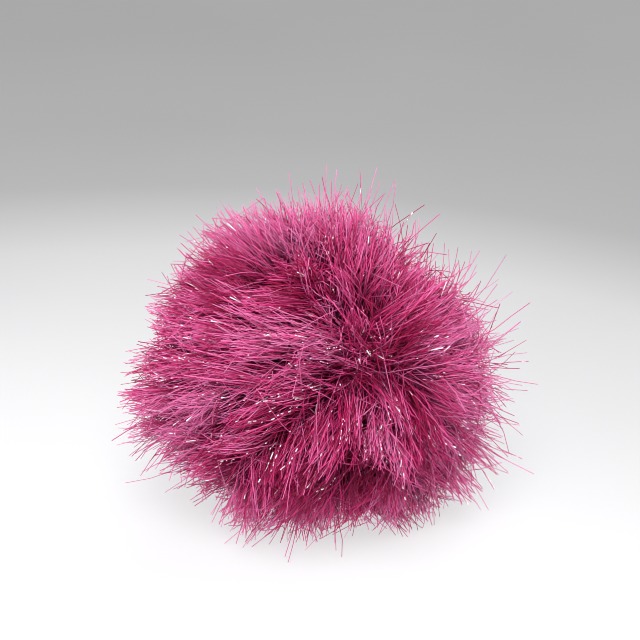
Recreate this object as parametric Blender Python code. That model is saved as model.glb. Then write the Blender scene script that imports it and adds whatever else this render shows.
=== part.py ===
"""Yarn pom pom: a loose ball of cut fur yarn, as one solid that rests on a flat surface.

The dense middle of the ball, where the yarn is tied, is a lumpy core. Tapered locks of yarn are
rooted all over it. They part from a short line at the front, the crown, and comb back round the
ball. They gather on the ridges of the pile, lean away from its hollows and droop under their own
weight. Under the ball they are shorter and stand on the surface with level ends. The frame's
origin is on that surface, under the middle of the bounding box, with +Z up and the crown
towards -Y.
"""

import math
import random
from collections import namedtuple

import bmesh
import bpy
from mathutils import Vector

NAME = "pom_pom"
SEED = 6
UP = Vector((0.0, 0.0, 1.0))

# The ball. Every lock grows away from the tie, which is on the Z axis while the ball is made.
TIE_HEIGHT = 0.0385
CORE_RADIUS = 0.0305
CORE_HEIGHT_SHARE = 0.94
CORE_FOLD_SHARE = 0.5
CORE_SUBDIVISIONS = 3
PILE_REACH = 0.0432
PILE_HEIGHT_SHARE = 0.93

# Soft lumps of the core: a sine wave through it along each axis.
LUMP_HEIGHT = 0.0006
LUMP_PITCHES = (0.033, 0.036, 0.030)
LUMP_PHASES = (0.7, 2.0, 0.0)

# The locks, with the share of a lock that rises straight from its root.
LOCK_COUNT = 272
LOCK_ROOT_RADIUS = 0.0025
LOCK_TIP_RADIUS = 0.0007
LOCK_TAPER = 1.2
LOCK_ROOT_DEPTH = 0.0032
LOCK_SEGMENTS = 3
LOCK_STRAIGHT_SHARE = 0.42
LOCK_REACH_SPREAD = 0.07
LOCK_ROOT_JITTER = 0.0006
LOCK_TIP_JITTER = 0.0009

# How the locks lie, in radians of turn and shares of the angle to a fold.
COMB_TURN = 0.80
ROOT_SHIFT_SHARE = 0.30
DROOP_TURN = 0.10
GATHER_SHARE = 0.25
PART_TURN = 0.22

# Under the ball, where a lock that would reach lower than the clearance stands on its end.
FLOOR_CLEARANCE = 0.0022
FLOOR_END_LENGTH = 0.0045
FLOOR_END_RADIUS = 0.0014

# Folds of the pile: ridges where rise is above 0, and hollows where it is below. Each lies along
# an arc from one direction to another, or round one direction where both are the same. Azimuth
# is degrees from +X towards +Y, elevation is degrees above the horizontal, rise is metres of
# reach gained or lost, and breadth is degrees to either side.
Fold = namedtuple("Fold", "name azimuth elevation end_azimuth end_elevation rise breadth")
FOLDS = (
    Fold("left_sweep", 186.0, -11.0, 192.0, -24.0, 0.0064, 15.0),
    Fold("left_mass", 221.0, 26.0, 204.0, 0.0, 0.0034, 17.0),
    Fold("left_ridge", 262.0, 38.0, 212.0, 42.0, 0.0036, 10.0),
    Fold("left_shoulder", 146.0, 46.0, 168.0, 16.0, 0.0028, 13.0),
    Fold("top_ridge", 286.0, 42.0, 238.0, 73.0, 0.0026, 8.0),
    Fold("top_spike", 64.0, 61.0, 90.0, 64.0, 0.0024, 9.0),
    Fold("right_sweep", -36.0, -49.0, -13.0, -24.0, 0.0056, 12.0),
    Fold("right_low", -38.0, -51.0, -38.0, -51.0, 0.0028, 9.0),
    Fold("right_mass", -33.0, 18.0, -24.0, 2.0, 0.0020, 14.0),
    Fold("hanging_tuft", -66.0, 8.0, -56.0, -34.0, 0.0042, 8.0),
    Fold("middle_tuft", -91.0, 2.0, -96.0, -14.0, 0.0030, 9.0),
    Fold("front_low_left", 232.0, -38.0, 218.0, -52.0, 0.0080, 11.0),
    Fold("low_tip", 256.0, -60.0, 256.0, -60.0, 0.0014, 8.0),
    Fold("back_left", 128.0, -6.0, 128.0, -6.0, 0.0034, 26.0),
    Fold("back_right", 66.0, -16.0, 66.0, -6.0, 0.0024, 18.0),
    Fold("right_dent", 12.0, -6.0, -4.0, 2.0, -0.0024, 10.0),
    Fold("right_hollow", 24.0, 39.0, 52.0, 26.0, -0.0060, 21.0),
    Fold("front_low_dent", -72.0, -60.0, -60.0, -60.0, -0.0070, 8.0),
    Fold("upper_valley", 197.0, 57.0, 281.0, 38.0, -0.0062, 8.0),
    Fold("top_valley", 178.0, 69.0, -53.0, 70.0, -0.0040, 9.0),
    Fold("crown_hollow", -56.0, 22.0, -44.0, 13.0, -0.0085, 9.0),
    Fold("crown_gap", -74.0, 19.0, -74.0, 19.0, -0.0050, 7.0),
    Fold("lower_valley", -88.0, 24.0, -108.0, 2.0, -0.0064, 9.0),
    Fold("lower_left_gap", -112.0, -4.0, -140.0, -38.0, -0.0034, 8.0),
    Fold("low_hollow", -85.0, -21.0, -70.0, -27.0, -0.0115, 10.0),
    Fold("right_gap", -50.0, -26.0, -44.0, -44.0, -0.0040, 8.0),
    Fold("upper_right_gap", -56.0, 47.0, -48.0, 58.0, -0.0036, 9.0),
    Fold("left_gap", -123.0, 17.0, -128.0, 12.0, -0.0036, 6.0),
    Fold("back_valley", 96.0, 40.0, 96.0, -30.0, -0.0036, 10.0),
    Fold("back_hollow", 150.0, -30.0, 160.0, 0.0, -0.0022, 10.0),
)

# Where the locks part.
CROWN = Fold("crown", -72.0, 32.0, -56.0, 22.0, 0.0, 0.0)

YARN_COLOUR = (0.40, 0.035, 0.14, 1.0)
YARN_ROUGHNESS = 0.55

WELD_DISTANCE = 0.000001
SHORTEST_RUN = 0.000001


def direction(azimuth, elevation):
    """Unit vector for two angles in degrees."""
    turn = math.radians(azimuth)
    tilt = math.radians(elevation)
    flat = math.cos(tilt)
    return Vector((flat * math.cos(turn), flat * math.sin(turn), math.sin(tilt)))


def nearest(fold, heading):
    """The direction on a fold's line that is nearest to a heading."""
    start = direction(fold.azimuth, fold.elevation)
    run = direction(fold.end_azimuth, fold.end_elevation) - start
    share = (heading - start).dot(run) / max(run.length_squared, SHORTEST_RUN)
    return (start + run * min(max(share, 0.0), 1.0)).normalized()


def fold_weight(fold, heading):
    """How strongly a fold acts on a direction, from 0 to 1."""
    angle = nearest(fold, heading).angle(heading)
    return math.exp(-((angle / math.radians(fold.breadth)) ** 2))


def fold_rise(heading):
    """Reach gained from all the ridges and lost to all the hollows along a direction."""
    return sum(fold.rise * fold_weight(fold, heading) for fold in FOLDS)


def flattened(radius, height_share, heading):
    """Radius of a ball that is lower than it is wide, along a direction."""
    return radius / Vector((heading.x, heading.y, heading.z / height_share)).length


def core_radius(heading):
    """Radius of the lumpy core along a direction."""
    lump = 0.0
    for along, pitch, phase in zip(heading, LUMP_PITCHES, LUMP_PHASES):
        lump += LUMP_HEIGHT * math.sin(2.0 * math.pi * along * CORE_RADIUS / pitch + phase)
    smooth = flattened(CORE_RADIUS, CORE_HEIGHT_SHARE, heading)
    return smooth + lump + CORE_FOLD_SHARE * fold_rise(heading)


def pile_radius(heading):
    """Reach of the locks' tips along a direction."""
    return flattened(PILE_REACH, PILE_HEIGHT_SHARE, heading) + fold_rise(heading)


def turned(heading, away_from, turn):
    """A direction turned in radians away from another one."""
    side = heading - away_from * heading.dot(away_from)
    return (heading * math.cos(turn) + side.normalized() * math.sin(turn)).normalized()


def combed(heading, share):
    """A direction turned by a share of the comb: most beside the crown, nothing behind the ball."""
    crown = nearest(CROWN, heading)
    angle = crown.angle(heading)
    turn = COMB_TURN * math.sin(angle) * (1.0 + math.cos(angle)) / 2.0
    return turned(heading, crown, share * turn)


def root_headings():
    """Directions of the roots: a golden-angle spiral over the ball, drawn towards the crown."""
    golden_angle = math.pi * (3.0 - math.sqrt(5.0))
    headings = []
    for index in range(LOCK_COUNT):
        height = 1.0 - (2.0 * index + 1.0) / LOCK_COUNT
        flat = math.sqrt(1.0 - height * height)
        turn = golden_angle * index
        heading = Vector((flat * math.cos(turn), flat * math.sin(turn), height))
        headings.append(combed(heading, -ROOT_SHIFT_SHARE))
    return headings


def tip_heading(heading):
    """Where a lock that is rooted along a direction points at its tip."""
    tip = combed(heading, 1.0)
    for fold in FOLDS:
        line = nearest(fold, tip)
        weight = fold_weight(fold, tip)
        if fold.rise > 0.0:
            tip = turned(tip, line, -GATHER_SHARE * weight * line.angle(tip))
        else:
            tip = turned(tip, line, PART_TURN * weight)
    sideways = math.hypot(tip.x, tip.y)
    return turned(tip, UP, DROOP_TURN * sideways)


def jittered(point, spread, dice):
    """A point moved by up to a spread along each axis."""
    return point + Vector([dice.uniform(-spread, spread) for _ in range(3)])


def bend(start, control, end, share):
    """A point of the arc that leaves the start towards the control point and reaches the end."""
    rest = 1.0 - share
    return start * rest**2 + control * (2.0 * share * rest) + end * share**2


def lock_route(heading, dice):
    """Points and radii of one lock, from inside the core to its tip."""
    tie = UP * TIE_HEIGHT
    root = jittered(tie + heading * core_radius(heading), LOCK_ROOT_JITTER, dice)
    aim = tip_heading(heading)
    reach = pile_radius(aim) * (1.0 + dice.uniform(-LOCK_REACH_SPREAD, LOCK_REACH_SPREAD))
    tip = jittered(tie + aim * reach, LOCK_TIP_JITTER, dice)
    stands = tip.z < FLOOR_CLEARANCE
    end = Vector((tip.x, tip.y, FLOOR_END_LENGTH)) if stands else tip
    arcs = LOCK_SEGMENTS - 1 if stands else LOCK_SEGMENTS
    control = root + heading * (LOCK_STRAIGHT_SHARE * (end - root).length)
    points = [root - heading * LOCK_ROOT_DEPTH]
    points += [bend(root, control, end, step / arcs) for step in range(1, arcs + 1)]
    if stands:
        points.append(Vector((tip.x, tip.y, 0.0)))
    narrowing = LOCK_ROOT_RADIUS - (FLOOR_END_RADIUS if stands else LOCK_TIP_RADIUS)
    radii = [
        LOCK_ROOT_RADIUS - narrowing * (step / LOCK_SEGMENTS) ** LOCK_TAPER
        for step in range(LOCK_SEGMENTS + 1)
    ]
    return points, radii


def add_locks(collection):
    """All the locks as one curve object with a tapered square bevel."""
    dice = random.Random(SEED)
    curve = bpy.data.curves.new("locks", "CURVE")
    curve.dimensions = "3D"
    curve.bevel_depth = LOCK_ROOT_RADIUS
    curve.bevel_resolution = 0
    curve.use_fill_caps = True
    for heading in root_headings():
        points, radii = lock_route(heading, dice)
        spline = curve.splines.new("POLY")
        spline.points.add(len(points) - 1)
        for target, point, radius in zip(spline.points, points, radii):
            target.co = (point.x, point.y, point.z, 1.0)
            target.radius = radius / LOCK_ROOT_RADIUS
    locks = bpy.data.objects.new("locks", curve)
    collection.objects.link(locks)
    return locks


def curve_to_solid(curve_object, collection):
    """The curve's evaluated mesh, closed at its caps, in place of the curve."""
    bpy.context.view_layer.update()
    evaluated = curve_object.evaluated_get(bpy.context.evaluated_depsgraph_get())
    mesh = bpy.data.meshes.new_from_object(evaluated)
    work = bmesh.new()
    work.from_mesh(mesh)
    bmesh.ops.remove_doubles(work, verts=work.verts, dist=WELD_DISTANCE)
    bmesh.ops.recalc_face_normals(work, faces=work.faces)
    work.to_mesh(mesh)
    work.free()
    solid = bpy.data.objects.new(curve_object.name + "_solid", mesh)
    solid.matrix_world = curve_object.matrix_world
    collection.objects.link(solid)
    bpy.data.objects.remove(curve_object)
    return solid


def add_core(collection):
    """The lumpy core, from an icosphere whose points move out to the core's radius."""
    mesh = bpy.data.meshes.new(NAME)
    work = bmesh.new()
    bmesh.ops.create_icosphere(work, subdivisions=CORE_SUBDIVISIONS, radius=1.0)
    for vert in work.verts:
        heading = vert.co.normalized()
        vert.co = UP * TIE_HEIGHT + heading * core_radius(heading)
    work.to_mesh(mesh)
    work.free()
    core = bpy.data.objects.new(NAME, mesh)
    collection.objects.link(core)
    return core


def centre_over_origin(core, locks):
    """Slide core and locks together, so that the locks' bounding box is centred on the Z axis."""
    for axis in (0, 1):
        places = [vert.co[axis] for vert in locks.data.vertices]
        middle = (min(places) + max(places)) / 2.0
        for mesh in (core.data, locks.data):
            for vert in mesh.vertices:
                vert.co[axis] -= middle


def fuse_roots(core, locks):
    """Join the locks to the core with a Boolean union."""
    union = core.modifiers.new("roots", "BOOLEAN")
    union.operation = "UNION"
    union.solver = "EXACT"
    union.use_self = True
    union.object = locks
    locks.hide_render = True
    locks.display_type = "WIRE"


def yarn_material():
    """Dyed polyester yarn."""
    material = bpy.data.materials.new("fur_yarn")
    material.use_nodes = True
    shader = material.node_tree.nodes["Principled BSDF"]
    shader.inputs["Base Color"].default_value = YARN_COLOUR
    shader.inputs["Roughness"].default_value = YARN_ROUGHNESS
    shader.inputs["Metallic"].default_value = 0.0
    return material


def new_collection(name):
    """A collection in the scene."""
    collection = bpy.data.collections.new(name)
    bpy.context.scene.collection.children.link(collection)
    return collection


def main():
    """Build the pom pom in an empty scene."""
    for old in list(bpy.data.objects):
        bpy.data.objects.remove(old)
    parts = new_collection("yarn_pom_pom")
    cutters = new_collection("cutters")
    core = add_core(parts)
    locks = curve_to_solid(add_locks(cutters), cutters)
    centre_over_origin(core, locks)
    fuse_roots(core, locks)
    core.data.materials.append(yarn_material())


main()
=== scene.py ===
"""Yarn pom pom: a ball of raspberry fur yarn with silver tinsel, on a plain pale floor."""

import math
import random
from collections import namedtuple

import bmesh
import bpy
import numpy as np
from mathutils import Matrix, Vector


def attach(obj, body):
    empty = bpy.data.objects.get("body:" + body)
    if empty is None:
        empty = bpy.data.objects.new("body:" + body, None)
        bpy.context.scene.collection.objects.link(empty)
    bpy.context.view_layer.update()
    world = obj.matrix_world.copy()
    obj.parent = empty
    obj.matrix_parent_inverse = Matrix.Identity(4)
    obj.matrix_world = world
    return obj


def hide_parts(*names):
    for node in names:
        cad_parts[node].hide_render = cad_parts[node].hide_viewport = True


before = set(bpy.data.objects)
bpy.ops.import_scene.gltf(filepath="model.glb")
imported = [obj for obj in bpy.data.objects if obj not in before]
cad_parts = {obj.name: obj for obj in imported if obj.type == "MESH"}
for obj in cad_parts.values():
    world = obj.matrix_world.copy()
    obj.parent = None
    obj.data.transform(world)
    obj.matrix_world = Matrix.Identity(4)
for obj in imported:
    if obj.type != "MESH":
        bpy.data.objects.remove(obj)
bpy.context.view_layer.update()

NODE = "pom_pom"
BODY = "root"
UV_NAME = "OFBake"
PIXEL = 0.00025           # one pixel of the 640 by 640 view, at the ball
UP = np.array((0.0, 0.0, 1.0))
SHORTEST_RUN = 0.000001   # keeps a fold that is round one direction from a division by 0
SHORTEST_SIDE = 1e-9      # keeps a direction on the axis it is turned from where it is

# ---------------------------------------------------------------- the ball, as its solid is made
SEED = 6
TIE_HEIGHT = 0.0385
TIE = UP * TIE_HEIGHT
CORE_RADIUS = 0.0305
CORE_HEIGHT_SHARE = 0.94
CORE_FOLD_SHARE = 0.5
PILE_REACH = 0.0432
PILE_HEIGHT_SHARE = 0.93
LUMP_HEIGHT = 0.0006
LUMP_PITCHES = np.array((0.033, 0.036, 0.030))
LUMP_PHASES = np.array((0.7, 2.0, 0.0))

LOCK_COUNT = 272
LOCK_DRAWS = 7            # random numbers of a lock: for its root, its reach and its tip
LOCK_STRAIGHT_SHARE = 0.42
LOCK_REACH_SPREAD = 0.07
LOCK_ROOT_JITTER = 0.0006
LOCK_TIP_JITTER = 0.0009

COMB_TURN = 0.80
ROOT_SHIFT_SHARE = 0.30
DROOP_TURN = 0.10
GATHER_SHARE = 0.25
PART_TURN = 0.22

# Folds of the pile: ridges where rise is above 0, hollows where it is below. Each lies along an
# arc from one direction to another (azimuth and elevation in degrees), or round one direction
# where both are the same. Rise is metres of reach, and breadth is degrees to either side.
Fold = namedtuple("Fold", "name azimuth elevation end_azimuth end_elevation rise breadth")
FOLDS = (
    Fold("left_sweep", 186.0, -11.0, 192.0, -24.0, 0.0064, 15.0),
    Fold("left_mass", 221.0, 26.0, 204.0, 0.0, 0.0034, 17.0),
    Fold("left_ridge", 262.0, 38.0, 212.0, 42.0, 0.0036, 10.0),
    Fold("left_shoulder", 146.0, 46.0, 168.0, 16.0, 0.0028, 13.0),
    Fold("top_ridge", 286.0, 42.0, 238.0, 73.0, 0.0026, 8.0),
    Fold("top_spike", 64.0, 61.0, 90.0, 64.0, 0.0024, 9.0),
    Fold("right_sweep", -36.0, -49.0, -13.0, -24.0, 0.0056, 12.0),
    Fold("right_low", -38.0, -51.0, -38.0, -51.0, 0.0028, 9.0),
    Fold("right_mass", -33.0, 18.0, -24.0, 2.0, 0.0020, 14.0),
    Fold("hanging_tuft", -66.0, 8.0, -56.0, -34.0, 0.0042, 8.0),
    Fold("middle_tuft", -91.0, 2.0, -96.0, -14.0, 0.0030, 9.0),
    Fold("front_low_left", 232.0, -38.0, 218.0, -52.0, 0.0080, 11.0),
    Fold("low_tip", 256.0, -60.0, 256.0, -60.0, 0.0014, 8.0),
    Fold("back_left", 128.0, -6.0, 128.0, -6.0, 0.0034, 26.0),
    Fold("back_right", 66.0, -16.0, 66.0, -6.0, 0.0024, 18.0),
    Fold("right_dent", 12.0, -6.0, -4.0, 2.0, -0.0024, 10.0),
    Fold("right_hollow", 24.0, 39.0, 52.0, 26.0, -0.0060, 21.0),
    Fold("front_low_dent", -72.0, -60.0, -60.0, -60.0, -0.0070, 8.0),
    Fold("upper_valley", 197.0, 57.0, 281.0, 38.0, -0.0062, 8.0),
    Fold("top_valley", 178.0, 69.0, -53.0, 70.0, -0.0040, 9.0),
    Fold("crown_hollow", -56.0, 22.0, -44.0, 13.0, -0.0085, 9.0),
    Fold("crown_gap", -74.0, 19.0, -74.0, 19.0, -0.0050, 7.0),
    Fold("lower_valley", -88.0, 24.0, -108.0, 2.0, -0.0064, 9.0),
    Fold("lower_left_gap", -112.0, -4.0, -140.0, -38.0, -0.0034, 8.0),
    Fold("low_hollow", -85.0, -21.0, -70.0, -27.0, -0.0115, 10.0),
    Fold("right_gap", -50.0, -26.0, -44.0, -44.0, -0.0040, 8.0),
    Fold("upper_right_gap", -56.0, 47.0, -48.0, 58.0, -0.0036, 9.0),
    Fold("left_gap", -123.0, 17.0, -128.0, 12.0, -0.0036, 6.0),
    Fold("back_valley", 96.0, 40.0, 96.0, -30.0, -0.0036, 10.0),
    Fold("back_hollow", 150.0, -30.0, 160.0, 0.0, -0.0022, 10.0),
)

# The parting that the pile is combed away from.
CROWN = Fold("crown", -72.0, 32.0, -56.0, 22.0, 0.0, 0.0)

# ---------------------------------------------------------------- fibres
FIBRE_SEED = 41
ROOT_DEPTH = 0.0060       # how far below the core's surface a fibre starts
FIBRE_WIDTH = 0.000262
WIDTH_LOW, WIDTH_HIGH = 0.75, 1.15
FIBRE_TIP_SHARE = 0.75
FIBRE_END = 0.00020       # length of a fibre's blunt end
FIBRE_SIDES = 3
LONGEST_SHARE = 0.975
SHORTER_BY = 0.36
SHORTER_POWER = 1.1
FLOOR_LIFT = 0.0006
HIGHEST_END = 0.0880      # no fibre ends above this height
TUFT_SPREAD_LOW, TUFT_SPREAD_HIGH = 0.5, 1.7
TUFT_BOW_LOW, TUFT_BOW_HIGH = 0.2, 1.6
FIBRE_BOW_SHARE = 0.55    # how much each fibre bows by itself, of what its tuft does
FIBRE_BOW_LIMIT = 1.5

# Kinds of tuft: how many, fibres in each, points of a fibre, how much they bow and kink, their tint
# (darker for kinds that lie deeper in the pile and paler for those that stand out of it, as painted
# shade and light), how far hollows thin them and tidy places keep them out, how wide they are at
# root and tip, how much they fan and stray, and how far they reach.
Tufts = namedtuple(
    "Tufts",
    "name count fibres points bow kink tone thinned tidied root_spread tip_spread fan stray"
    " reach_low reach_high",
    defaults=(0.0, 0.0, 0.0, 0.0, 0.0, 1.0, 1.0),
)
LOCK_TUFTS = Tufts(
    "locks", LOCK_COUNT, fibres=64, points=6, bow=0.0021, kink=0.00020, tone=0.54, thinned=1.0,
    root_spread=0.0034, tip_spread=0.0021, fan=0.0019,
)
SMALL_TUFTS = Tufts(
    "small", 720, fibres=9, points=6, bow=0.0017, kink=0.00020, tone=0.60, thinned=1.0,
    root_spread=0.0020, tip_spread=0.0016, fan=0.0021, stray=0.20, reach_low=0.84, reach_high=1.04,
)
# The under pile's low tint is painted shade, as it lies beneath the rest.
UNDER_PILE = Tufts(
    "under", 2600, fibres=1, points=5, bow=0.0012, kink=0.00012, tone=0.32, thinned=0.4,
    stray=0.16, reach_low=0.70, reach_high=0.90,
)
STRAYS = Tufts(
    "strays", 3000, fibres=1, points=7, bow=0.0032, kink=0.00026, tone=0.66, thinned=1.0,
    tidied=0.75, stray=0.24, reach_low=0.86, reach_high=1.05,
)
TANGLE = Tufts(
    "tangle", 420, fibres=1, points=7, bow=0.0024, kink=0.00016, tone=0.42, thinned=0.0,
    stray=0.42, reach_low=0.74, reach_high=0.98,
)
TANGLE_BREADTH = 0.42     # radians round the crown

# Pointed tufts along the outline, whose fibres come together at their ends.
Spike = namedtuple("Spike", "azimuth elevation reach")
SPIKES = (
    Spike(154.0, 54.0, 0.0492),
    Spike(146.0, 60.0, 0.0450),
    Spike(108.0, 70.0, 0.0434),
    Spike(72.0, 71.0, 0.0430),
    Spike(56.0, 67.0, 0.0468),
    Spike(29.0, 57.0, 0.0466),
    Spike(170.0, 38.0, 0.0472),
    Spike(-178.0, 21.0, 0.0480),
    Spike(-171.0, -3.0, 0.0500),
    Spike(-163.0, -17.0, 0.0496),
    Spike(-138.0, -41.0, 0.0470),
    Spike(-103.0, -53.0, 0.0446),
    Spike(-100.0, -55.0, 0.0444),
    Spike(-97.0, -54.0, 0.0440),
    Spike(-15.0, -10.0, 0.0490),
    Spike(-24.0, -25.0, 0.0496),
)
SPIKE_TUFTS = Tufts(
    "spikes", len(SPIKES), fibres=20, points=6, bow=0.0010, kink=0.00008, tone=0.62, thinned=0.0,
    root_spread=0.0036, tip_spread=0.0012, fan=0.0009,
)
SPIKE_LEAN = 0.45         # how far back towards the crown a pointed tuft is rooted

# Long single fibres that leave the ball's outline, each curling a little.
Wisp = namedtuple("Wisp", "azimuth elevation reach curl")
WISPS = (
    Wisp(9.7, 18.7, 0.0535, 0.0030),
    Wisp(1.5, 4.0, 0.0504, 0.0012),
    Wisp(20.0, 33.8, 0.0500, -0.0030),
    Wisp(26.5, 41.2, 0.0465, 0.0020),
    Wisp(13.6, 24.7, 0.0490, 0.0024),
    Wisp(-2.3, -4.5, 0.0512, -0.0020),
    Wisp(-5.8, -11.3, 0.0490, 0.0016),
    Wisp(5.0, 9.0, 0.0500, -0.0016),
    Wisp(17.0, 30.0, 0.0470, 0.0036),
    Wisp(36.0, 50.0, 0.0450, -0.0016),
    Wisp(48.0, 56.0, 0.0460, 0.0014),
    Wisp(95.0, 63.0, 0.0512, -0.0012),
    Wisp(84.0, 62.5, 0.0480, 0.0012),
    Wisp(146.0, 47.5, 0.0490, 0.0012),
    Wisp(157.0, 36.0, 0.0480, -0.0012),
    Wisp(187.0, -5.0, 0.0520, -0.0010),
    Wisp(193.0, -20.0, 0.0520, 0.0014),
    Wisp(222.0, -52.0, 0.0490, 0.0010),
    Wisp(262.0, -62.0, 0.0462, 0.0010),
    Wisp(-30.0, -42.0, 0.0490, -0.0014),
)
WISP_FIBRES = 3           # strands in a wisp, which part towards their ends
WISP_PARTING = 0.10       # radians
WISP_LEAN = 0.7
WISP_SHORTEST = 0.90
WISP_WAVES = 1.5 * math.pi

# Where the pile is loose: fewer fibres, more uneven in length and lying less neatly.
LOOSE = (
    Fold("loose_side", 2.0, -6.0, 30.0, 44.0, 1.0, 24.0),
    Fold("loose_top", 40.0, 62.0, 110.0, 74.0, 0.9, 16.0),
    Fold("loose_notch", 8.0, 42.0, 4.0, 34.0, 0.6, 7.0),
    Fold("loose_left", -166.0, -24.0, -146.0, -36.0, 0.5, 10.0),
    Fold("loose_low", -122.0, -48.0, -92.0, -50.0, 0.8, 8.0),
)
LOOSEST = 1.5
LOOSE_THINNING = 0.54
LOOSE_REACH = 0.02
LOOSE_SHORTER = 0.30
LOOSE_FAN = 2.2
# Where the tufts' ends spread and meet.
FULL = Fold("full_back", 60.0, 5.0, 150.0, 25.0, 1.0, 38.0)
FULLER = 0.9
# Where few stray fibres stand out.
TIDY = (
    Fold("tidy_side", 195.0, 45.0, 192.0, -10.0, 1.0, 48.0),
    Fold("tidy_back", 70.0, 10.0, 150.0, 15.0, 1.0, 36.0),
)
HOLLOW_DEPTH = 0.0180     # a hollow this deep keeps no fibres
SHADE_THINNING = 0.7      # how much sparser the pile is where it is shaded

# ---------------------------------------------------------------- tints
TINT_ROWS = 24
ROW_MARGIN, ROW_SPAN = 0.1, 0.8   # the part of a tint's row that a fibre's width takes
TUFT_TINT_SPREAD = 0.17
FIBRE_TINT_SPREAD = 0.32
PAINTED_LIGHT_PER_RISE = 45.0      # painted light on ridges and painted shade in hollows
TINT_DEEPEST, TINT_HIGHEST = -0.008, 0.0025
# Painted shade (rise below 0) and painted light: where the pile's tint is darker or paler than its
# form alone makes it. Here rise is a share of the tint.
PAINTED_LIGHT_AND_SHADE = (
    Fold("crown_pit", -60.0, 29.0, -54.0, 22.0, -0.58, 7.0),
    Fold("crown_low", -74.0, 17.0, -70.0, 19.0, -0.18, 6.0),
    Fold("top_middle", -76.0, 66.0, -65.0, 51.0, -0.30, 8.0),
    Fold("low_front", -114.0, -16.0, -90.0, -28.0, -0.36, 11.0),
    Fold("low_left", -117.0, -8.0, -103.0, -45.0, -0.10, 12.0),
    Fold("low_right", -85.0, -14.0, -73.0, -29.0, -0.62, 7.0),
    Fold("right_low", -55.0, -8.0, -47.0, -22.0, -0.26, 8.0),
    Fold("under_crown", -86.0, 12.0, -95.0, 3.0, -0.22, 6.0),
    Fold("upper_valley", -137.0, 56.0, -81.0, 37.0, -0.18, 7.0),
    Fold("left_notch", -121.0, 19.0, -121.0, 19.0, -0.08, 5.0),
    Fold("upper_left", 170.0, 44.0, -146.0, 37.0, -0.46, 7.0),
    Fold("low_middle", -86.0, 11.0, -81.0, -12.0, -0.40, 5.0),
    Fold("front_gap", -109.0, -3.0, -100.0, -8.0, -0.30, 5.0),
    Fold("top_low", -96.0, 66.0, -124.0, 72.0, -0.18, 8.0),
    Fold("crown_side", -59.0, 14.0, -56.0, -6.0, -0.58, 5.0),
    Fold("crown_front", -76.0, 22.0, -76.0, 22.0, -0.14, 4.0),
    Fold("left_low", -137.0, -14.0, -128.0, -24.0, -0.40, 6.0),
    Fold("left_tip", -171.0, 0.0, -171.0, 6.0, -0.40, 6.0),
    Fold("right_valley", -62.0, 57.0, -49.0, 31.0, -0.46, 8.0),
    Fold("left_valley", -139.0, 48.0, -124.0, 56.0, -0.14, 6.0),
    Fold("left_mass", -140.0, 22.0, -105.0, 34.0, 0.10, 9.0),
    Fold("left_crest", -147.0, 0.0, -126.0, 14.0, 0.24, 7.0),
    Fold("left_slope", -121.0, -17.0, -85.0, 23.0, 0.10, 7.0),
    Fold("hanging_crest", -75.0, 13.0, -70.0, -8.0, 0.14, 5.0),
    Fold("crown_crest", -98.0, 36.0, -76.0, 29.0, 0.24, 5.0),
    Fold("upper_crest", -98.0, 55.0, -82.0, 50.0, 0.30, 5.0),
    Fold("top_crest", -124.0, 86.0, -124.0, 86.0, 0.26, 5.0),
    Fold("middle_crest", -94.0, 54.0, -94.0, 54.0, 0.22, 5.0),
    Fold("top_left_rim", 158.0, 62.0, 158.0, 62.0, 0.30, 8.0),
    Fold("right_crest", -34.0, 22.0, -30.0, 0.0, 0.36, 7.0),
    Fold("low_crest", -136.0, 6.0, -138.0, -3.0, 0.50, 6.0),
    Fold("right_rim", 0.0, 34.0, -14.0, -8.0, 0.52, 15.0),
    Fold("top_rim", 32.0, 62.0, 148.0, 66.0, 0.46, 11.0),
    Fold("left_rim", -162.0, -15.0, -162.0, -15.0, 0.38, 8.0),
    Fold("bottom_rim", -132.0, -45.0, -104.0, -53.0, 0.30, 7.0),
)

# Colours of the tints, and what multiplies them from a fibre's root to its tip: painted shade that
# darkens the root, deep in the pile, and a painted pale lilac glow at the tip.
FIBRE_TINTS = (
    (0.00, (0.21, 0.004, 0.034)),
    (0.25, (0.40, 0.013, 0.094)),
    (0.50, (0.54, 0.045, 0.180)),
    (0.75, (0.605, 0.098, 0.266)),
    (1.00, (0.650, 0.160, 0.354)),
)
FIBRE_ROOT_SHADE_TIP_GLOW = (
    (0.00, (0.02, 0.00, 0.01)),
    (0.25, (0.16, 0.08, 0.12)),
    (0.55, (0.92, 0.85, 0.88)),
    (0.80, (1.09, 1.22, 1.17)),
    (1.00, (1.11, 1.68, 1.56)),
)
FIBRE_SHADER = {
    "Emission Strength": 0.07,    # painted glow that stands in for light scattering through the fibres
    "Roughness": 0.42,
    "Specular IOR Level": 0.33,
    "Specular Tint": (1.0, 0.42, 0.68, 1.0),
}
# The foil's glow is a painted glint, which keeps every dash bright whatever way it faces.
TINSEL_SHADER = {
    "Base Color": (1.0, 1.0, 1.0, 1.0),
    "Metallic": 0.5,
    "Roughness": 0.30,
    "Emission Color": (1.0, 1.0, 1.0, 1.0),
    "Emission Strength": 0.15,
}
# The wound middle's near black is painted shade, as it lies deep under the pile.
MIDDLE_PAINTED_SHADE_SHADER = {"Base Color": (0.045, 0.004, 0.014, 1.0), "Roughness": 0.8}
MIDDLE_DEPTH = 0.0045     # how far the wound middle lies below the core's surface
MIDDLE_SUBDIVISIONS = 5

# ---------------------------------------------------------------- tinsel
TINSEL_DASHES = 800       # single glints
TINSEL_CHAINS = 235       # fibres with a row of small glints
TINSEL_CHAIN_GLINTS = 6
TINSEL_ABOVE = 0.70       # height of a heading above which less of the tinsel shows
TINSEL_FEWER_ABOVE = 0.65
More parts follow.
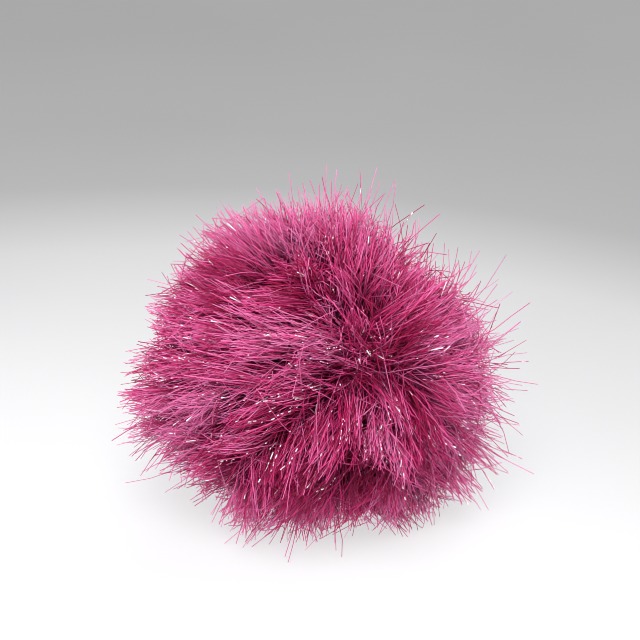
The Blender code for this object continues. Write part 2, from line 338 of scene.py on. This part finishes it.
# Where there is most of it.
TINSEL_THICK = Fold("crown_tinsel", -70.0, 22.0, -112.0, 10.0, 1.0, 20.0)
TINSEL_MORE_THERE = 2.0
TINSEL_FIRST, TINSEL_LAST = 0.25, 0.95    # where along a fibre a glint or a row starts
TINSEL_LOWEST, TINSEL_HIGHEST = 0.1, 0.97
TINSEL_PITCH = 0.0013     # from one glint of a row to the next
TINSEL_UNEVEN = 0.6       # how far a glint strays from its place in a row, in pitches
TINSEL_LIFT = 0.0005
TINSEL_TWIST = 0.5
TINSEL_WIDTH = 0.00025
TINSEL_THICKNESS = 0.00006
TINSEL_SHORTEST = 0.0004
DASH_LONGER_BY = 0.0038
DASH_POWER = 3.0          # few dashes are long
GLINT_LONGER_BY = 0.0006
LONG_GLINTS = 0.6         # share of a row's glints that aren't mere dots
DOT_SHARE = 0.3
GLINT_UV = ((0.05, 0.05), (0.95, 0.05), (0.95, 0.95), (0.05, 0.95))

# ---------------------------------------------------------------- camera and stage
CAMERA_DISTANCE = 0.60
CAMERA_ELEVATION = 27.0
SENSOR = 36.0
FRAME_WIDTH = 640 * PIXEL
TIE_PIXEL = (325.0, 365.0)
FRAME_MIDDLE = 320.0
CLIP_START = 0.01
FILTER_WIDTH = 1.0
FLOOR_SHADER = {
    "Roughness": 0.9,
    "Specular IOR Level": 0.1,
    "Emission Strength": 2.50,    # painted glow that stands in for light scattering in the paper, and lightens the shadow
}
FLOOR_RADIUS = 6.0
FLOOR_CORNERS = 96
# Painted light on the floor: its grey by distance from the middle of a painted pool of light.
PAINTED_LIGHT_MIDDLE = (-0.05, -0.11, 0.0)
FLOOR_PAINTED_LIGHT = (
    (0.00, 0.262),
    (0.12, 0.244),
    (0.20, 0.204),
    (0.26, 0.172),
    (0.31, 0.116),
    (0.36, 0.106),
    (0.45, 0.099),
    (1.00, 0.089),
)
PAPER_TINT = (0.995, 0.995, 1.01)
CREASE_INPUTS = {"Scale": 9.0, "Detail": 3.0, "Roughness": 0.45}
CREASE_SHADE_SHARE = 0.05       # how much the painted light and shade of the paper's soft creases change its tone
# Area lights: name, watts, size and place. They all face one point in the ball.
LIGHTS = (
    ("key", 12.0, 0.60, (-0.02, -0.52, 0.84)),
    ("fill", 3.0, 0.5, (-0.40, -0.70, 0.45)),
    ("back", 5.0, 0.8, (0.20, 0.60, 0.70)),
    ("side", 1.1, 0.4, (0.60, 0.06, 0.42)),
)
LIGHTS_AIM = (0.0, 0.0, 0.04)
SURROUND = 0.34


def unit(vectors):
    """Vectors scaled to length 1."""
    return vectors / np.linalg.norm(vectors, axis=-1, keepdims=True)


def dot(first, second):
    """Dot product along the last axis, kept as a column."""
    return (first * second).sum(axis=-1, keepdims=True)


def direction(azimuth, elevation):
    """Unit vector for two angles in degrees."""
    turn, tilt = math.radians(azimuth), math.radians(elevation)
    flat = math.cos(tilt)
    return np.array((flat * math.cos(turn), flat * math.sin(turn), math.sin(tilt)))


def nearest(fold, headings):
    """The direction on a fold's line that is nearest to each heading."""
    start = direction(fold.azimuth, fold.elevation)
    run = direction(fold.end_azimuth, fold.end_elevation) - start
    share = np.clip(dot(headings - start, run) / max(run @ run, SHORTEST_RUN), 0.0, 1.0)
    return unit(start + run * share)


def angle_between(first, second):
    """Angles between directions, in radians."""
    return np.arccos(np.clip(dot(first, second), -1.0, 1.0))


def fold_weight(fold, headings):
    """How strongly a fold acts on each direction, from 0 to 1."""
    angle = angle_between(headings, nearest(fold, headings))
    return np.exp(-((angle / math.radians(fold.breadth)) ** 2))


def fold_rise(headings, folds=FOLDS):
    """Sum of what all the folds add at each direction: reach gained or lost, or tint."""
    return sum(fold.rise * fold_weight(fold, headings) for fold in folds)


def flattened(radius, height_share, headings):
    """Radius of a ball that is lower than it is wide."""
    stretch = np.array((1.0, 1.0, 1.0 / height_share))
    return radius / np.linalg.norm(headings * stretch, axis=-1, keepdims=True)


def core_radius(headings):
    """Radius of the lumpy core."""
    waves = np.sin(2.0 * math.pi * headings * CORE_RADIUS / LUMP_PITCHES + LUMP_PHASES)
    lump = LUMP_HEIGHT * waves.sum(axis=-1, keepdims=True)
    smooth = flattened(CORE_RADIUS, CORE_HEIGHT_SHARE, headings)
    return smooth + lump + CORE_FOLD_SHARE * fold_rise(headings)


def pile_radius(headings):
    """Reach of the locks' tips."""
    return flattened(PILE_REACH, PILE_HEIGHT_SHARE, headings) + fold_rise(headings)


def turned(headings, away_from, turn):
    """Directions turned in radians away from another one."""
    side = headings - away_from * dot(headings, away_from)
    side = side / np.maximum(np.linalg.norm(side, axis=-1, keepdims=True), SHORTEST_SIDE)
    return unit(headings * np.cos(turn) + side * np.sin(turn))


def combed(headings, share):
    """Directions turned away from the crown by a share of the comb."""
    crown = nearest(CROWN, headings)
    angle = angle_between(headings, crown)
    turn = COMB_TURN * np.sin(angle) * (1.0 + np.cos(angle)) / 2.0
    return turned(headings, crown, share * turn)


def spiral(count):
    """Directions spread evenly over the ball and drawn towards the crown."""
    index = np.arange(count)[:, None]
    height = 1.0 - (2.0 * index + 1.0) / count
    flat = np.sqrt(1.0 - height * height)
    turn = math.pi * (3.0 - math.sqrt(5.0)) * index
    headings = np.concatenate((flat * np.cos(turn), flat * np.sin(turn), height), axis=1)
    return combed(headings, -ROOT_SHIFT_SHARE)


def tip_headings(headings):
    """Where locks that are rooted along the directions point at their tips."""
    tips = combed(headings, 1.0)
    for fold in FOLDS:
        line, weight = nearest(fold, tips), fold_weight(fold, tips)
        if fold.rise > 0.0:
            tips = turned(tips, line, -GATHER_SHARE * weight * angle_between(tips, line))
        else:
            tips = turned(tips, line, PART_TURN * weight)
    sideways = np.hypot(tips[:, :1], tips[:, 1:2])
    return turned(tips, UP, DROOP_TURN * sideways)


Guides = namedtuple("Guides", "headings roots controls tips")


def make_guides(headings, aims, reach_factors, root_moves=0.0, tip_moves=0.0):
    """Routes from the core's surface to the tips, relative to the tie's foot on the floor."""
    roots = TIE + headings * core_radius(headings) + root_moves
    tips = TIE + aims * pile_radius(aims) * reach_factors + tip_moves
    lengths = np.linalg.norm(tips - roots, axis=-1, keepdims=True)
    controls = roots + headings * LOCK_STRAIGHT_SHARE * lengths
    return Guides(headings, roots, controls, tips)


def lock_guides():
    """The locks that the solid is built with."""
    dice = random.Random(SEED)
    draws = [[dice.uniform(-1.0, 1.0) for _ in range(LOCK_DRAWS)] for _ in range(LOCK_COUNT)]
    draws = np.array(draws)
    headings = spiral(LOCK_COUNT)
    return make_guides(
        headings,
        tip_headings(headings),
        1.0 + LOCK_REACH_SPREAD * draws[:, 3:4],
        LOCK_ROOT_JITTER * draws[:, :3],
        LOCK_TIP_JITTER * draws[:, 4:],
    )


def scattered_guides(tufts, headings, rng):
    """Guides between the locks, combed as the locks are but less neatly."""
    headings = combed(headings, -ROOT_SHIFT_SHARE)
    aims = unit(tip_headings(headings) + rng.normal(size=headings.shape) * tufts.stray)
    reach = rng.uniform(tufts.reach_low, tufts.reach_high, (tufts.count, 1))
    return make_guides(headings, aims, reach)


def stray_guides(tufts, rng):
    """Guides that are rooted all round the ball."""
    return scattered_guides(tufts, unit(rng.normal(size=(tufts.count, 3))), rng)


def tangle_guides(tufts, rng):
    """Guides that are rooted round the crown."""
    scatter = unit(rng.normal(size=(tufts.count, 3)))
    along = rng.uniform(0.0, 1.0, (tufts.count, 1))
    start = direction(CROWN.azimuth, CROWN.elevation)
    end = direction(CROWN.end_azimuth, CROWN.end_elevation)
    aside = TANGLE_BREADTH * scatter * rng.uniform(size=along.shape)
    return scattered_guides(tufts, unit(start + (end - start) * along + aside), rng)


def spike_guides(_tufts, _rng):
    """Guides of the pointed tufts, which are all in their table."""
    table = np.array(SPIKES)
    aims = np.array([direction(*row[:2]) for row in table])
    headings = combed(aims, -ROOT_SHIFT_SHARE - SPIKE_LEAN)
    return make_guides(headings, aims, table[:, 2:3] / pile_radius(aims))


def frame_shift(guides):
    """From the tie's foot to the frame's origin, which is under the middle of the locks' box."""
    ends = np.concatenate((guides.roots, guides.tips))
    middle = (ends.min(axis=0) + ends.max(axis=0)) / 2.0
    return np.array((-middle[0], -middle[1], 0.0))


def from_tie(points):
    """Directions of points as seen from the tie."""
    return unit(points - TIE)


def curves(guides, shares):
    """Points along curved guides, at shares of their length."""
    roots, controls, tips = (part[:, None] for part in (guides.roots, guides.controls, guides.tips))
    rest = 1.0 - shares
    return roots * rest**2 + controls * (2.0 * shares * rest) + tips * shares**2


def lifted(points):
    """Points that stay above the floor: what would dip below it lies along it."""
    height = points[..., 2]
    result = points.copy()
    result[..., 2] = 0.5 * (height + np.sqrt(height * height + (2.0 * FLOOR_LIFT) ** 2))
    return result


def ended(paths):
    """Paths with one more point close beyond the last, which closes the fibre's blunt end."""
    last = unit(paths[:, -1] - paths[:, -2]) * FIBRE_END
    return np.concatenate((paths, (paths[:, -1] + last)[:, None]), axis=1)


def wisp_paths(rng):
    """Points of the long single fibres."""
    table = np.array(WISPS)[np.repeat(np.arange(len(WISPS)), WISP_FIBRES)]
    aims = np.array([direction(*row[:2]) for row in table])
    aims = unit(aims + rng.normal(size=aims.shape) * WISP_PARTING)
    headings = combed(aims, -ROOT_SHIFT_SHARE - WISP_LEAN)
    longest = rng.uniform(WISP_SHORTEST, 1.0, (len(table), 1))
    shares = np.linspace(0.0, 1.0, STRAYS.points)[None, :, None]
    spine = curves(make_guides(headings, aims, table[:, 2:3] * longest / pile_radius(aims)), shares)
    sideways = unit(np.cross(aims, UP))[:, None]
    curl = table[:, None, 3:4] * np.sin(shares * WISP_WAVES) * shares
    kink = rng.normal(size=spine.shape) * STRAYS.kink * shares
    return lifted(ended(spine + sideways * curl + kink))


def round_offsets(tufts, heading, owner, rng):
    """Where each fibre stands across its tuft, in radii of the tuft."""
    count = len(owner)
    across = unit(np.cross(heading, rng.normal(size=(tufts.count, 3))[owner]))
    over = np.cross(heading, across)
    radius = np.sqrt(rng.uniform(0.0, 1.0, (count, 1)))
    angle = rng.uniform(0.0, 2.0 * math.pi, (count, 1))
    return across * radius * np.cos(angle) + over * radius * np.sin(angle)


def end_shares(tufts, loose, rng):
    """How much of its guide each fibre follows, which makes the ends ragged."""
    size = (len(loose), 1, 1)
    shares = 1.0
    if tufts.fibres > 1:
        shares = LONGEST_SHARE - SHORTER_BY * rng.uniform(0.0, 1.0, size) ** SHORTER_POWER
    return shares + loose * (LOOSE_REACH - LOOSE_SHORTER * rng.uniform(0.0, 1.0, size))


def kept_fibres(tufts, paths, loose, rng):
    """Which fibres stay: hollows, shaded and loose places are sparser, tidy ones have no strays."""
    outer = from_tie(paths[:, -2:])
    rise = fold_rise(outer).min(axis=1)[:, 0]
    tidy = np.minimum(fold_rise(outer[:, -1], TIDY)[:, 0], 1.0)
    shade = np.minimum(fold_rise(outer, PAINTED_LIGHT_AND_SHADE).min(axis=1)[:, 0], 0.0)
    thick = (1.0 - LOOSE_THINNING * loose[:, 0, 0]) * np.clip(1.0 + rise / HOLLOW_DEPTH, 0.0, 1.0)
    thick = thick * np.clip(1.0 + SHADE_THINNING * shade, 0.0, 1.0)
    chance = 1.0 - tufts.thinned * (1.0 - thick) - tufts.tidied * tidy
    return (rng.uniform(size=len(paths)) < chance) & (paths[:, -1, 2] < HIGHEST_END)


def tuft_paths(tufts, guides, rng):
    """Points of every fibre of a kind of tuft, a row for each fibre, and the tufts they are of."""
    owner = np.repeat(np.arange(tufts.count), tufts.fibres)
    count = len(owner)
    heading = guides.headings[owner]
    offset = round_offsets(tufts, heading, owner, rng)
    outward = from_tie(guides.tips)
    loose = np.minimum(fold_rise(outward, LOOSE), LOOSEST)[owner][:, None]
    full = 1.0 + FULLER * fold_weight(FULL, outward)[owner][:, None]
    even = np.linspace(0.0, 1.0, tufts.points)[None, :, None]
    shares = even * end_shares(tufts, loose, rng)
    spine = curves(Guides(*(part[owner] for part in guides)), shares)
    spread = rng.uniform(TUFT_SPREAD_LOW, TUFT_SPREAD_HIGH, (tufts.count, 1))[owner][:, None]
    spread = tufts.root_spread * (1.0 - shares) + tufts.tip_spread * spread * full * shares
    bow = unit(rng.normal(size=(tufts.count, 3)))
    bow = (bow * rng.uniform(TUFT_BOW_LOW, TUFT_BOW_HIGH, (tufts.count, 1)))[owner][:, None]
    own_bow = np.clip(rng.normal(size=(count, 1, 3)), -FIBRE_BOW_LIMIT, FIBRE_BOW_LIMIT)
    bow = (bow + FIBRE_BOW_SHARE * own_bow) * tufts.bow
    fan = rng.normal(size=(count, 1, 3)) * (tufts.fan + loose * LOOSE_FAN * SMALL_TUFTS.fan)
    kink = rng.normal(size=spine.shape) * tufts.kink * np.minimum(1.0, 2.0 * shares)
    paths = spine + offset[:, None] * spread
    paths = paths + bow * np.sin(shares * math.pi) + fan * shares**2 + kink
    paths[:, 0] -= heading * ROOT_DEPTH
    kept = kept_fibres(tufts, paths, loose, rng)
    return lifted(ended(paths[kept])), owner[kept]


def new_material(name, values):
    """A material whose shader takes the values."""
    material = bpy.data.materials.new(name)
    material.use_nodes = True
    inputs = material.node_tree.nodes["Principled BSDF"].inputs
    for key, value in values.items():
        inputs[key].default_value = value
    return material


def ramp(nodes, stops):
    """A colour ramp with the stops."""
    node = nodes.new("ShaderNodeValToRGB")
    elements = node.color_ramp.elements
    while len(elements) > 1:
        elements.remove(elements[-1])
    elements[0].position, elements[0].color = stops[0][0], (*stops[0][1], 1.0)
    for position, colour in stops[1:]:
        elements.new(position).color = (*colour, 1.0)
    return node


def fibre_material():
    """Dyed raspberry polyester fibre, with painted shade that darkens it towards the root and a
    painted pale glow at the tip.
    """
    material = new_material("fur_fibre", FIBRE_SHADER)
    nodes, links = material.node_tree.nodes, material.node_tree.links
    shader = nodes["Principled BSDF"]
    place = nodes.new("ShaderNodeUVMap")
    place.uv_map = UV_NAME
    split = nodes.new("ShaderNodeSeparateXYZ")
    links.new(place.outputs["UV"], split.inputs[0])
    tint = ramp(nodes, FIBRE_TINTS)
    links.new(split.outputs["Y"], tint.inputs["Fac"])
    # Painted shade at the root and a painted pale glow at the tip.
    along = ramp(nodes, FIBRE_ROOT_SHADE_TIP_GLOW)
    links.new(split.outputs["X"], along.inputs["Fac"])
    mix = nodes.new("ShaderNodeMix")
    mix.data_type = "RGBA"
    mix.blend_type = "MULTIPLY"
    mix.inputs["Factor"].default_value = 1.0
    links.new(tint.outputs["Color"], mix.inputs["A"])
    links.new(along.outputs["Color"], mix.inputs["B"])
    links.new(mix.outputs["Result"], shader.inputs["Base Color"])
    links.new(mix.outputs["Result"], shader.inputs["Emission Color"])
    return material


def link(name, data):
    """A new object in the scene."""
    made = bpy.data.objects.new(name, data)
    bpy.context.scene.collection.objects.link(made)
    return made


def mesh_object(name, vertices, corners, sizes, uvs, material):
    """A mesh object from flat arrays of vertices, face corners, face sizes and corner UVs."""
    mesh = bpy.data.meshes.new(name)
    mesh.vertices.add(len(vertices))
    mesh.vertices.foreach_set("co", vertices.astype(np.float32).ravel())
    mesh.loops.add(len(corners))
    mesh.loops.foreach_set("vertex_index", corners.astype(np.int32))
    mesh.polygons.add(len(sizes))
    starts = np.concatenate(((0,), np.cumsum(sizes)[:-1]))
    mesh.polygons.foreach_set("loop_start", starts.astype(np.int32))
    mesh.polygons.foreach_set("use_smooth", np.ones(len(sizes), dtype=bool))
    layer = mesh.uv_layers.new(name=UV_NAME)
    layer.uv.foreach_set("vector", uvs.astype(np.float32).ravel())
    mesh.update(calc_edges=True)
    mesh.validate()
    mesh.materials.append(material)
    return link(name, mesh)


def fibre_template(rings):
    """Corners, face sizes and UVs of one fibre: three-sided rings, a point and a closed root."""
    corners, sizes, places = [], [], []
    for ring in range(rings):
        low, high = ring / rings, (ring + 1) / rings
        base = FIBRE_SIDES * ring
        for side in range(FIBRE_SIDES):
            beside = (side + 1) % FIBRE_SIDES
            if ring < rings - 1:
                above = base + FIBRE_SIDES
                corners += [base + side, base + beside, above + beside, above + side]
                places += [(low, 0.0), (low, 1.0), (high, 1.0), (high, 0.0)]
                sizes.append(4)
            else:
                corners += [base + side, base + beside, base + FIBRE_SIDES]
                places += [(low, 0.0), (low, 1.0), (1.0, 0.5)]
                sizes.append(3)
    corners += [2, 1, 0]
    places += [(0.0, 0.0), (0.0, 1.0), (0.02, 0.5)]
    sizes.append(3)
    return np.array(corners), np.array(sizes), np.array(places)


def fibre_piece(name, paths, widths, rows, rng, material):
    """A mesh of closed three-sided fibres that taper to a point."""
    count, points, _ = paths.shape
    rings = points - 1
    along = unit(np.gradient(paths, axis=1))
    guess = unit(rng.normal(size=(count, 1, 3)))
    side = unit(guess - along * dot(guess, along))
    over = np.cross(along, side)
    side, over = side[:, :rings], over[:, :rings]
    taper = np.linspace(1.0, FIBRE_TIP_SHARE, points)[None, :rings, None]
    half = 0.5 * widths[:, None, None] * taper
    turns = 2.0 * math.pi * np.arange(FIBRE_SIDES) / FIBRE_SIDES
    ringed = [
        paths[:, :rings] + half * (side * math.cos(turn) + over * math.sin(turn)) for turn in turns
    ]
    shell = np.stack(ringed, axis=2).reshape(count, rings * FIBRE_SIDES, 3)
    vertices = np.concatenate((shell, paths[:, -1:]), axis=1)
    corners, sizes, places = fibre_template(rings)
    first = (np.arange(count) * (rings * FIBRE_SIDES + 1))[:, None]
    uvs = np.empty((count, len(places), 2))
    uvs[..., 0] = places[:, 0]
    uvs[..., 1] = (rows[:, None] + ROW_MARGIN + ROW_SPAN * places[:, 1]) / TINT_ROWS
    return mesh_object(
        name, vertices.reshape(-1, 3), (corners + first).ravel(), np.tile(sizes, count),
        uvs.reshape(-1, 2), material,
    )


def dress(piece):
    """The piece rides on the body and stands for the solid, which is hidden."""
    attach(piece, BODY)
    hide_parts(NODE)


def fibre_groups(guides, rng):
    """Name, paths and tints of each group: the locks in four quarters, then all the others."""
    groups = []
    paths, owner = tuft_paths(LOCK_TUFTS, guides, rng)
    ends = paths[:, -1] - TIE
    quarter = (np.degrees(np.arctan2(ends[:, 1], ends[:, 0])) // 90).astype(int) % 4
    tint = LOCK_TUFTS.tone + TUFT_TINT_SPREAD * rng.normal(size=LOCK_COUNT)[owner]
    for index, name in enumerate(("back_right", "back_left", "front_left", "front_right")):
        chosen = quarter == index
        groups.append(("locks_" + name, paths[chosen], tint[chosen]))
    for tufts, guides_of in (
        (SMALL_TUFTS, stray_guides),
        (UNDER_PILE, stray_guides),
        (STRAYS, stray_guides),
        (TANGLE, tangle_guides),
        (SPIKE_TUFTS, spike_guides),
    ):
        paths, owner = tuft_paths(tufts, guides_of(tufts, rng), rng)
        tint = tufts.tone + TUFT_TINT_SPREAD * rng.normal(size=tufts.count)[owner]
        groups.append((tufts.name, paths, tint))
    groups.append(("wisps", wisp_paths(rng), np.full(len(WISPS) * WISP_FIBRES, STRAYS.tone)))
    return groups


def add_fibres(shift, guides):
    """All the fibres, a piece for each group. Gives the locks' paths."""
    material = fibre_material()
    rng = np.random.default_rng(FIBRE_SEED)
    groups = fibre_groups(guides, rng)
    for name, paths, tint in groups:
        outward = from_tie(paths[:, -2])
        # Painted light and shade in the tint: paler on ridges and the listed crests and rims,
        # darker in hollows and the listed pits.
        rise = np.clip(fold_rise(outward)[:, 0], TINT_DEEPEST, TINT_HIGHEST)
        tone = tint + FIBRE_TINT_SPREAD * rng.normal(size=len(paths)) + PAINTED_LIGHT_PER_RISE * rise
        tone = tone + fold_rise(outward, PAINTED_LIGHT_AND_SHADE)[:, 0]
        rows = np.clip(tone * TINT_ROWS, 0, TINT_ROWS - 1).astype(int)
        widths = FIBRE_WIDTH * rng.uniform(WIDTH_LOW, WIDTH_HIGH, len(paths))
        dress(fibre_piece("fur_" + name, paths + shift, widths, rows, rng, material))
    return np.concatenate([paths for name, paths, _ in groups if "locks" in name])


def add_tinsel(paths, shift):
    """Glints of the tinsel thread: thin foil dashes and rows of dots that lie along fibres."""
    rng = np.random.default_rng(FIBRE_SEED + 1)
    carriers = TINSEL_DASHES + TINSEL_CHAINS
    count = TINSEL_DASHES + TINSEL_CHAINS * TINSEL_CHAIN_GLINTS
    single = np.arange(count) < TINSEL_DASHES
    chains = TINSEL_DASHES + np.repeat(np.arange(TINSEL_CHAINS), TINSEL_CHAIN_GLINTS)
    owner = np.concatenate((np.arange(TINSEL_DASHES), chains))
    in_chain = np.tile(np.arange(TINSEL_CHAIN_GLINTS), TINSEL_CHAINS)
    place_in_row = np.concatenate((np.zeros(TINSEL_DASHES), in_chain))
    thick_here = fold_weight(TINSEL_THICK, from_tie(paths[:, -2]))[:, 0]
    weight = 1.0 + TINSEL_MORE_THERE * thick_here
    chosen = rng.choice(len(paths), carriers, p=weight / weight.sum())[owner]
    start = rng.uniform(TINSEL_FIRST, TINSEL_LAST, carriers)[owner]
    steps = paths.shape[1] - 3  # the stretches of a path but for its root and its blunt end
    reach = np.linalg.norm(paths[chosen, -1] - paths[chosen, 1], axis=1)
    uneven = rng.uniform(-TINSEL_UNEVEN, TINSEL_UNEVEN, count) * ~single
    share = start + (place_in_row + uneven) * TINSEL_PITCH / reach
    share = np.clip(share, TINSEL_LOWEST, TINSEL_HIGHEST) * steps
    step = np.minimum(share.astype(int), steps - 1)
    near, far = paths[chosen, step + 1], paths[chosen, step + 2]
    place = near + (far - near) * (share - step)[:, None]
    along = unit(far - near)
    outward = from_tie(place)
    place = place + outward * TINSEL_LIFT
    high = outward[:, 2] > TINSEL_ABOVE
    seen = rng.uniform(size=count) < 1.0 - TINSEL_FEWER_ABOVE * high
    wide = unit(np.cross(along, outward + rng.normal(size=near.shape) * TINSEL_TWIST))
    thick = np.cross(along, wide)
    dash_longer = DASH_LONGER_BY * rng.uniform(0.0, 1.0, count) ** DASH_POWER
    glint_longer = GLINT_LONGER_BY * rng.uniform(0.0, 1.0, count)
    length = TINSEL_SHORTEST + np.where(single, dash_longer, glint_longer)
    whole = single | (rng.uniform(size=count) < LONG_GLINTS)
    length = (length * np.where(whole, 1.0, DOT_SHARE))[:, None]
    dress(foil_boxes([part[seen] for part in (place, along * length, wide, thick)], shift))


def foil_boxes(parts, shift):
    """A thin box for each glint, from its middle, its run and its two cross directions."""
    place, run, wide, thick = parts
    count = len(place)
    corners = []
    for end in (-0.5, 0.5):
        for w, t in ((-0.5, -0.5), (0.5, -0.5), (0.5, 0.5), (-0.5, 0.5)):
            across = wide * TINSEL_WIDTH * w + thick * TINSEL_THICKNESS * t
            corners.append(place + run * end + across)
    vertices = np.stack(corners, axis=1)
    vertices[..., 2] = np.maximum(vertices[..., 2], FLOOR_LIFT)
    faces = np.array(
        ((0, 3, 2, 1), (4, 5, 6, 7), (0, 1, 5, 4), (1, 2, 6, 5), (2, 3, 7, 6), (3, 0, 4, 7))
    )
    first = (np.arange(count) * vertices.shape[1])[:, None]
    return mesh_object(
        "tinsel", (vertices + shift).reshape(-1, 3), (faces.ravel() + first).ravel(),
        np.full(len(faces) * count, 4), np.tile(np.array(GLINT_UV), (len(faces) * count, 1)),
        new_material("silver_tinsel", TINSEL_SHADER),
    )


def add_middle(shift):
    """The wound middle that closes the ball under the fibres, painted near black as shade."""
    mesh = bpy.data.meshes.new("wound_middle")
    work = bmesh.new()
    bmesh.ops.create_icosphere(work, subdivisions=MIDDLE_SUBDIVISIONS, radius=1.0)
    headings = unit(np.array([vert.co[:] for vert in work.verts]))
    places = TIE + headings * (core_radius(headings) - MIDDLE_DEPTH) + shift
    for vert, place in zip(work.verts, places):
        vert.co = place
    for face in work.faces:
        face.smooth = True
    work.to_mesh(mesh)
    work.free()
    mesh.materials.append(new_material("wound_middle", MIDDLE_PAINTED_SHADE_SHADER))
    dress(link("wound_middle", mesh))


def floor_material():
    """Matt paper with a painted pool of light, white round the ball and greyer further off, a
    painted glow that lightens its shadows, and faint soft creases painted as light and shade.
    """
    material = new_material("studio_floor", FLOOR_SHADER)
    nodes, links = material.node_tree.nodes, material.node_tree.links
    shader = nodes["Principled BSDF"]
    place = nodes.new("ShaderNodeNewGeometry")
    aside = nodes.new("ShaderNodeVectorMath")
    aside.operation = "SUBTRACT"
    aside.inputs[1].default_value = PAINTED_LIGHT_MIDDLE
    links.new(place.outputs["Position"], aside.inputs[0])
    distance = nodes.new("ShaderNodeVectorMath")
    distance.operation = "LENGTH"
    links.new(aside.outputs["Vector"], distance.inputs[0])
    shade = ramp(nodes, [(far, tuple(part * grey for part in PAPER_TINT)) for far, grey in FLOOR_PAINTED_LIGHT])
    links.new(distance.outputs["Value"], shade.inputs["Fac"])
    crease = nodes.new("ShaderNodeTexNoise")
    for key, value in CREASE_INPUTS.items():
        crease.inputs[key].default_value = value
    links.new(place.outputs["Position"], crease.inputs["Vector"])
    spread = nodes.new("ShaderNodeMapRange")
    spread.inputs["To Min"].default_value = 1.0 - CREASE_SHADE_SHARE
    spread.inputs["To Max"].default_value = 1.0 + CREASE_SHADE_SHARE
    links.new(crease.outputs["Fac"], spread.inputs["Value"])
    paper = nodes.new("ShaderNodeVectorMath")
    paper.operation = "SCALE"
    links.new(shade.outputs["Color"], paper.inputs[0])
    links.new(spread.outputs["Result"], paper.inputs["Scale"])
    links.new(paper.outputs["Vector"], shader.inputs["Base Color"])
    links.new(paper.outputs["Vector"], shader.inputs["Emission Color"])
    return material


def add_stage():
    """A round pale floor."""
    bpy.ops.mesh.primitive_circle_add(
        vertices=FLOOR_CORNERS, radius=FLOOR_RADIUS, fill_type="NGON", location=(0.0, 0.0, 0.0)
    )
    floor = bpy.context.object
    floor.name = "floor"
    floor.data.materials.append(floor_material())


def add_lights():
    """A pale surround, a big key light overhead, and weaker ones in front, behind and beside."""
    world = bpy.data.worlds.new("surround")
    world.use_nodes = True
    background = world.node_tree.nodes["Background"]
    background.inputs["Color"].default_value = (1.0, 1.0, 1.0, 1.0)
    background.inputs["Strength"].default_value = SURROUND
    bpy.context.scene.world = world
    for name, energy, size, place in LIGHTS:
        light = bpy.data.lights.new(name, "AREA")
        light.energy = energy
        light.size = size
        lamp = link(name, light)
        lamp.location = place
        aim = Vector(LIGHTS_AIM) - Vector(place)
        lamp.rotation_euler = aim.to_track_quat("-Z", "Y").to_euler()


def add_camera(shift):
    """The camera, which puts the tie at its pixel."""
    tilt = math.radians(CAMERA_ELEVATION)
    back = Vector((0.0, -math.cos(tilt), math.sin(tilt)))
    up = Vector((0.0, math.sin(tilt), math.cos(tilt)))
    aim = Vector(TIE + shift) - Vector((1.0, 0.0, 0.0)) * (TIE_PIXEL[0] - FRAME_MIDDLE) * PIXEL
    aim += up * (TIE_PIXEL[1] - FRAME_MIDDLE) * PIXEL
    data = bpy.data.cameras.new("camera")
    data.sensor_width = SENSOR
    data.lens = SENSOR * CAMERA_DISTANCE / FRAME_WIDTH
    data.clip_start = CLIP_START
    camera = link("camera", data)
    camera.location = aim + back * CAMERA_DISTANCE
    camera.rotation_euler = (-back).to_track_quat("-Z", "Y").to_euler()
    bpy.context.scene.camera = camera


def main():
    """The ball at the frame's place, with its stage, lights and camera."""
    guides = lock_guides()
    shift = frame_shift(guides)
    add_tinsel(add_fibres(shift, guides), shift)
    add_middle(shift)
    add_stage()
    add_lights()
    add_camera(shift)
    bpy.context.scene.view_settings.view_transform = "Standard"
    bpy.context.scene.cycles.filter_width = FILTER_WIDTH


main()
